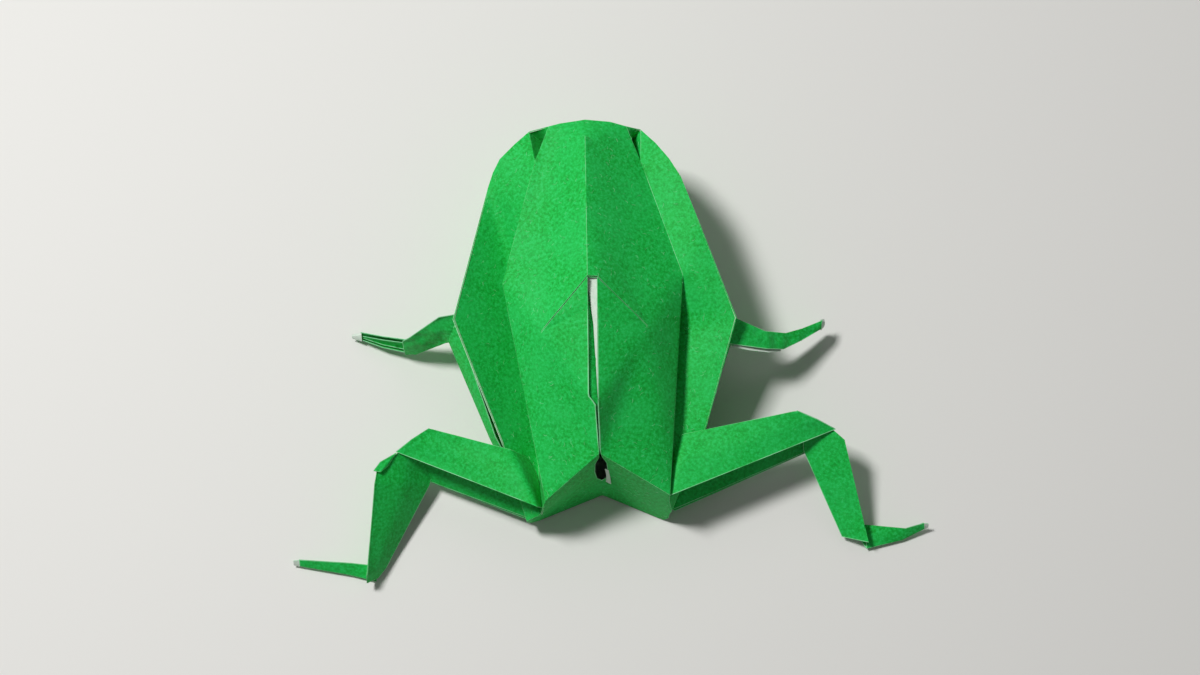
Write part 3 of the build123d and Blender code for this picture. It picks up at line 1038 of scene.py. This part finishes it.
@dataclass
class Limbs:
    """The four limbs, each made of folded strips between its joints."""

    strips: dict[str, list[Cut]] = field(default_factory=lambda: {
        "left_thigh": [
            Cut((-9.3, -20.4, 5.6), (-8.0, -27.3, 6.2), (-9.0, -27.5, 2.0)),
            Cut((-12.0, -19.7, 9.2), (-8.8, -27.8, 9.3), (-9.8, -28.2, 2.0)),
            Cut((-23.0, -16.5, 10.5), (-27.8, -19.0, 8.0), (-27.5, -20.3, 2.0)),
        ],
        "left_shin": [
            Cut((-27.6, -19.0, 7.7), (-23.9, -19.5, 5.2), (-24.3, -20.0, 2.6)),
            Cut((-30.4, -21.4, 8.5), (-23.2, -21.1, 3.1), (-24.4, -21.8, 1.2)),
            Cut((-30.8, -23.4, 8.4), (-23.6, -22.6, 2.7), (-24.8, -23.0, 0.9)),
            Cut((-32.5, -35.1, 3.8), (-30.0, -33.6, 1.0), (-30.6, -33.8, 0.2)),
            Cut((-32.7, -35.8, 2.2), (-31.2, -34.9, 0.6), (-31.6, -34.9, 0.1)),
        ],
        "left_foot": [
            Cut((-31.4, -35.4, 0.7), (-31.3, -33.3, 1.5), (-31.4, -33.9, 0.6)),
            Cut((-34.8, -34.4, 0.6), (-34.6, -32.9, 2.0), (-34.6, -33.4, 0.6)),
            Cut((-41.9, -32.8, 0.7), (-41.9, -32.0, 1.5), (-41.9, -32.2, 0.6)),
        ],
        "right_thigh": [
            Cut((9.7, -19.2, 7.9), (8.9, -26.5, 7.8), (8.9, -27.3, 3.4)),
            Cut((11.3, -18.6, 9.2), (8.9, -27.2, 9.5), (9.8, -28.0, 3.4)),
            Cut((26.8, -16.4, 10.5), (32.1, -18.8, 8.5), (31.5, -19.6, 4.4)),
        ],
        "right_shin": [
            Cut((31.6, -18.7, 8.3), (27.6, -19.8, 7.6), (28.0, -20.2, 4.4)),
            Cut((33.2, -20.2, 8.0), (27.6, -21.0, 6.4), (28.6, -21.6, 3.4)),
            Cut((36.0, -33.4, 2.3), (32.5, -32.2, 1.0), (33.2, -32.2, 0.1)),
        ],
        "right_foot": [
            Cut((35.8, -34.0, 0.7), (35.3, -30.7, 1.6), (35.0, -32.4, 0.5)),
            Cut((40.8, -33.0, 0.6), (41.2, -31.6, 1.8), (40.8, -32.1, 0.6)),
            Cut((43.9, -31.7, 1.0), (43.8, -31.0, 1.9), (43.7, -31.2, 1.0)),
        ],
        "left_upper_arm": [
            Cut((-10.8, -26.5, 1.8), (-9.6, -26.5, 4.4), (-9.2, -26.4, 1.2)),
            Cut((-15.1, -17.2, 5.6), (-14.2, -17.5, 7.6), (-13.4, -17.4, 4.8)),
            Cut((-20.4, -3.3, 7.8), (-18.8, -2.2, 11.3), (-18.2, -3.0, 7.0)),
        ],
        "left_forearm": [
            Cut((-19.0, -3.9, 8.0), (-18.9, -1.2, 12.2), (-18.2, -1.4, 7.6)),
            Cut((-20.6, -3.8, 7.0), (-21.2, -1.3, 11.5), (-20.2, -1.4, 6.8)),
            Cut((-25.0, -4.0, 2.4), (-25.6, -2.8, 7.1), (-25.0, -2.0, 2.6)),
            Cut((-26.6, -3.7, 1.4), (-26.7, -2.8, 5.4), (-26.4, -1.8, 1.8)),
        ],
        "left_hand": [
            Cut((-26.0, -2.9, 0.8), (-26.2, -3.7, 2.4), (-26.2, -2.1, 3.9)),
            Cut((-29.6, -1.9, 0.3), (-29.7, -2.6, 1.8), (-29.6, -1.2, 2.9)),
            Cut((-32.7, -0.8, 0.2), (-32.7, -1.2, 1.3), (-32.7, -0.2, 1.9)),
        ],
        "right_upper_arm": [
            Cut((10.8, -26.5, 1.8), (9.6, -26.5, 4.4), (9.2, -26.4, 1.2)),
            Cut((14.2, -17.2, 4.6), (13.4, -17.5, 7.0), (12.6, -17.4, 4.0)),
            Cut((19.2, -4.3, 6.8), (18.4, -3.2, 10.8), (17.2, -4.0, 6.0)),
        ],
        "right_forearm": [
            Cut((18.6, -2.9, 11.3), (18.0, -6.8, 11.1), (17.6, -5.0, 6.0)),
            Cut((23.3, -4.7, 9.1), (23.4, -7.2, 8.9), (22.9, -6.2, 4.4)),
            Cut((26.2, -4.6, 7.2), (25.8, -6.9, 7.1), (25.9, -5.6, 3.4)),
            Cut((28.6, -3.7, 5.9), (28.6, -5.3, 5.6), (28.5, -4.4, 2.6)),
            Cut((31.6, -2.3, 4.6), (31.4, -3.5, 4.4), (31.3, -2.7, 2.0)),
        ],
    })
    white_strips: dict[str, list[Cut]] = field(default_factory=lambda: {
        "left_toe_tip": [
            Cut((-41.9, -32.8, 0.5), (-41.9, -32.1, 1.4), (-41.9, -32.3, 0.4)),
            Cut((-42.7, -32.6, 0.6), (-42.7, -32.1, 1.2), (-42.7, -32.2, 0.5)),
        ],
        "right_toe_tip": [
            Cut((43.9, -31.7, 1.0), (43.8, -31.1, 1.9), (43.7, -31.2, 1.0)),
            Cut((44.4, -31.5, 1.1), (44.4, -31.1, 1.8), (44.3, -31.2, 1.1)),
        ],
        "left_hand_tip": [
            Cut((-32.6, -0.7, 2.2), (-32.6, -1.4, 1.3), (-32.6, -0.1, 1.4)),
            Cut((-34.0, -0.5, 1.3), (-34.0, -0.8, 0.8), (-34.0, -0.2, 0.8)),
        ],
        "right_hand_tip": [
            Cut((31.5, -2.9, 4.2), (31.4, -3.5, 3.6), (31.4, -2.2, 4.5)),
            Cut((32.0, -2.5, 3.9), (31.9, -2.9, 3.4), (31.9, -2.0, 4.1)),
        ],
        "right_forearm_reverse": [
            Cut((18.8, -6.4, 10.4), (18.7, -7.15, 10.5), (18.5, -6.6, 9.6)),
            Cut((21.0, -6.6, 9.4), (21.0, -7.45, 9.5), (20.9, -6.8, 8.7)),
            Cut((23.6, -6.7, 8.2), (23.7, -7.55, 8.3), (23.6, -6.9, 7.5)),
            Cut((25.5, -6.4, 6.9), (25.4, -7.1, 7.0), (25.3, -6.7, 6.3)),
        ],
    })
    crumpled: tuple[str, ...] = ("right_forearm", "left_forearm")
    knee_cap_corners: tuple[Point, ...] = (
        (-27.7, -19.1, 8.0), (-29.9, -20.45, 8.7), (-30.8, -21.7, 8.9), (-29.9, -21.9, 8.7),
        (-28.9, -21.0, 8.0),
    )

    def knee_cap(self) -> Sheet:
        """Draws the facet of the left thigh's end that caps the knee.

        Returns:
            The facet as a sheet.
        """
        first, *others = self.knee_cap_corners
        panels = [(first, near, far) for near, far in zip(others, others[1:])]
        return Sheet("left_knee_cap", panels, [], grain=0.4, soft_steps=0, wave=0.05,
                     face=PaperFace.DOUBLED)

    def build(self, stock: PaperStock) -> None:
        """Builds every strip with its nested plies, and the cap of the knee.

        Args:
            stock: The sheet's materials.
        """
        strips = [
            Strip(name, cuts, CRUMPLED_PAPER if name in self.crumpled else LIMB_PAPER)
            for name, cuts in self.strips.items()
        ]
        strips += [
            Strip(name, cuts, REVERSED_PAPER, plies=1) for name, cuts in self.white_strips.items()
        ]
        for strip in strips:
            for sheet in strip.sheets():
                sheet.build(stock)
        self.knee_cap().build(stock)


@dataclass(frozen=True)
class LooseFibres:
    """Pale fibres of the pulp that lie loose on the paper, scattered by geometry nodes."""

    density: float = 0.35           # fibres for each square millimetre
    length: float = 0.5
    bend: float = 0.16              # how far the middle of a fibre bows out
    radius: float = 0.018
    smallest: float = 0.5           # sizes of single fibres, as shares of the length
    largest: float = 1.4
    steps: int = 4                  # pieces along a fibre
    corners: int = 3                # of its section
    seed: int = 7

    def tree(self) -> bpy.types.NodeTree:
        """Builds the node tree that scatters the fibres over the coloured side of a mesh.

        Returns:
            The tree, with inputs for the fibres' density, sizes, seed and materials.
        """
        tree = bpy.data.node_groups.new("loose_fibres", "GeometryNodeTree")
        sockets = tree.interface
        sockets.new_socket("Geometry", in_out="INPUT", socket_type="NodeSocketGeometry")
        for name in ("Density", "Length", "Bend", "Radius"):
            sockets.new_socket(name, in_out="INPUT", socket_type="NodeSocketFloat")
        sockets.new_socket("Seed", in_out="INPUT", socket_type="NodeSocketInt")
        for name in ("Paper", "Fibre"):
            sockets.new_socket(name, in_out="INPUT", socket_type="NodeSocketMaterial")
        sockets.new_socket("Geometry", in_out="OUTPUT", socket_type="NodeSocketGeometry")
        inputs = add_node(tree, "NodeGroupInput").outputs
        coloured = add_node(tree, "GeometryNodeMaterialSelection", Material=inputs["Paper"])
        points = add_node(tree, "GeometryNodeDistributePointsOnFaces", Mesh=inputs["Geometry"],
                          Selection=coloured.outputs[0], Density=inputs["Density"], Seed=inputs["Seed"])
        back, half = (
            add_node(tree, "ShaderNodeMath", {"operation": "MULTIPLY"}, _0=inputs["Length"], _1=share)
            for share in (-0.5, 0.5)
        )
        start = add_node(tree, "ShaderNodeCombineXYZ", X=back.outputs[0])
        middle = add_node(tree, "ShaderNodeCombineXYZ", Y=inputs["Bend"])
        end = add_node(tree, "ShaderNodeCombineXYZ", X=half.outputs[0])
        line = add_node(tree, "GeometryNodeCurveQuadraticBezier", Resolution=self.steps,
                        Start=start.outputs[0], Middle=middle.outputs[0], End=end.outputs[0])
        ring = add_node(tree, "GeometryNodeCurvePrimitiveCircle", Resolution=self.corners,
                        Radius=inputs["Radius"])
        fibre = add_node(tree, "GeometryNodeCurveToMesh", Curve=line.outputs[0],
                         Profile_Curve=ring.outputs[0], Fill_Caps=True)
        size = add_node(tree, "FunctionNodeRandomValue", _2=self.smallest, _3=self.largest, ID=0,
                        Seed=inputs["Seed"])
        spread = add_node(tree, "GeometryNodeInstanceOnPoints", Points=points.outputs["Points"],
                          Instance=fibre.outputs[0], Rotation=points.outputs["Rotation"],
                          Scale=size.outputs[1])
        turn = add_node(tree, "FunctionNodeRandomValue", _2=0.0, _3=math.tau, Seed=inputs["Seed"])
        turned = add_node(tree, "GeometryNodeRotateInstances", Instances=spread.outputs[0],
                          Rotation=add_node(tree, "ShaderNodeCombineXYZ", Z=turn.outputs[1]).outputs[0])
        plain = add_node(tree, "GeometryNodeRealizeInstances", Geometry=turned.outputs[0])
        dyed = add_node(tree, "GeometryNodeSetMaterial", Geometry=plain.outputs[0],
                        Material=inputs["Fibre"])
        add_node(tree, "NodeGroupOutput", Geometry=dyed.outputs[0])
        return tree

    def build(self, pieces: Sequence[bpy.types.Object], stock: PaperStock) -> bpy.types.Object:
        """Scatters the fibres over the given pieces.

        Args:
            pieces: The pieces whose coloured side carries fibres, with the same material slots.
            stock: The sheet's materials.

        Returns:
            One object with all the fibres.
        """
        surface = bmesh.new()
        for piece in pieces:
            surface.from_mesh(piece.data)
        mesh = bpy.data.meshes.new("loose_fibres")
        surface.to_mesh(mesh)
        surface.free()
        for material in stock.slots(PaperFace.COLOURED):
            mesh.materials.append(material)
        fibres = linked("loose_fibres", mesh)
        tree = self.tree()
        scatter = fibres.modifiers.new("scatter", "NODES")
        scatter.node_group = tree
        values = {"Density": self.density / MM ** 2, "Length": self.length * MM, "Bend": self.bend * MM,
                  "Radius": self.radius * MM, "Seed": self.seed, "Paper": stock.coloured,
                  "Fibre": stock.edge}
        for item in tree.interface.items_tree:
            if item.in_out == "INPUT" and item.name in values:
                scatter[item.identifier] = values[item.name]
        return finished(fibres, "root")


@dataclass(frozen=True)
class Lamp:
    """A soft square lamp, with its place and its side in millimetres and its power in watts."""

    name: str
    place: Point
    size: float
    power: float

    def build(self, target: Point) -> None:
        """Adds the lamp.

        Args:
            target: The point that it shines at, in millimetres.
        """
        data = bpy.data.lights.new(self.name, "AREA")
        data.size = self.size * MM
        data.energy = self.power
        lamp = linked(self.name, data)
        aim = (Vector(target) - Vector(self.place)).to_track_quat("-Z", "Y")
        lamp.matrix_world = Matrix.Translation(Vector(self.place) * MM) @ aim.to_matrix().to_4x4()


@dataclass
class Studio:
    """The camera at the photo's angle, a pale floor and soft lamps."""

    focal_mm: float = 85.0
    sensor_mm: float = 36.0
    distance: float = 386.5
    target: Point = (0.0, 0.0, 12.0)
    elevation_deg: float = 74.0
    roll_deg: float = 2.65
    target_pixel: tuple[float, float] = (593.4, 300.0)
    frame_pixels: tuple[int, int] = (1200, 675)
    floor_colour: str = "#E4E3DF"
    floor_size: float = 6000.0
    world_strength: float = 0.14
    clip_start_m: float = 0.01
    floor_roughness: float = 0.9
    lamps: tuple[Lamp, ...] = (
        Lamp("key_left", (-218.0, 118.0, 452.0), 100.0, 2.25),
        Lamp("front_fill", (60.0, 320.0, 380.0), 300.0, 0.12),
    )

    def camera(self) -> None:
        """Adds the camera, with the small shift that the photo's framing needs."""
        width, height = self.frame_pixels
        data = bpy.data.cameras.new("camera")
        data.lens = self.focal_mm
        data.sensor_width = self.sensor_mm
        data.shift_x = (width / 2 - self.target_pixel[0]) / width
        data.shift_y = (self.target_pixel[1] - height / 2) / width
        data.clip_start = self.clip_start_m
        camera = linked("camera", data)
        rise = math.radians(self.elevation_deg)
        back = Vector((0, -math.cos(rise), math.sin(rise))) * self.distance
        turn = Matrix.Rotation(math.radians(90) - rise, 4, "X")
        roll = Matrix.Rotation(-math.radians(self.roll_deg), 4, "Z")
        camera.matrix_world = Matrix.Translation((Vector(self.target) + back) * MM) @ turn @ roll
        bpy.context.scene.camera = camera

    def floor(self) -> None:
        """Adds the pale floor that the frog rests on."""
        mesh = bpy.data.meshes.new("floor")
        half = self.floor_size / 2 * MM
        mesh.from_pydata([(-half, -half, 0), (half, -half, 0), (half, half, 0), (-half, half, 0)],
                         [], [(0, 1, 2, 3)])
        material = bpy.data.materials.new("painted studio board")
        material.use_nodes = True
        shader = material.node_tree.nodes["Principled BSDF"]
        shader.inputs["Base Color"].default_value = linear(self.floor_colour)
        shader.inputs["Roughness"].default_value = self.floor_roughness
        mesh.materials.append(material)
        floor = linked("floor", mesh)

    def build(self) -> None:
        """Builds the camera, the floor, the lamps and the world."""
        scene = bpy.context.scene
        scene.view_settings.view_transform = "Standard"
        world = bpy.data.worlds.new("studio")
        world.use_nodes = True
        background = world.node_tree.nodes["Background"]
        background.inputs["Color"].default_value = (1, 1, 1, 1)
        background.inputs["Strength"].default_value = self.world_strength
        scene.world = world
        self.camera()
        self.floor()
        for lamp in self.lamps:
            lamp.build(self.target)


def ground_for_flaps(piece: bpy.types.Object) -> BVHTree:
    """Makes the surface that the flaps are laid on.

    Args:
        piece: The body's skin.

    Returns:
        Its faces, in millimetres, for rays to hit.
    """
    skin = bmesh.new()
    skin.from_mesh(piece.data)
    skin.transform(Matrix.Scale(1 / MM, 4))
    ground = BVHTree.FromBMesh(skin)
    skin.free()
    return ground


def main() -> None:
    """Builds the frog and its studio."""
    logging.basicConfig(level=logging.INFO, format="%(name)s: %(message)s")
    stock = PaperStock(
        coloured=ColouredPaper().material(),
        white=WhitePaper().material(),
        edge=WhitePaper(name="craft paper, cut edge", colour="#8FD8A4", soaked="#3DB565",
                        soaking=Cover(0.35, 0.7, 0.8)).material(),
    )
    Studio().build()
    seed_set(WAVE_SEED)
    body = Body()
    skin = body.skin_sheet().build(stock)
    flaps = [sheet.build(stock) for sheet in body.flap_sheets(ground_for_flaps(skin))]
    for ply in body.edge_plies:
        ply.sheet().build(stock)
    LooseFibres().build([skin, *flaps], stock)
    Limbs().build(stock)


if __name__ == "__main__":
    main()
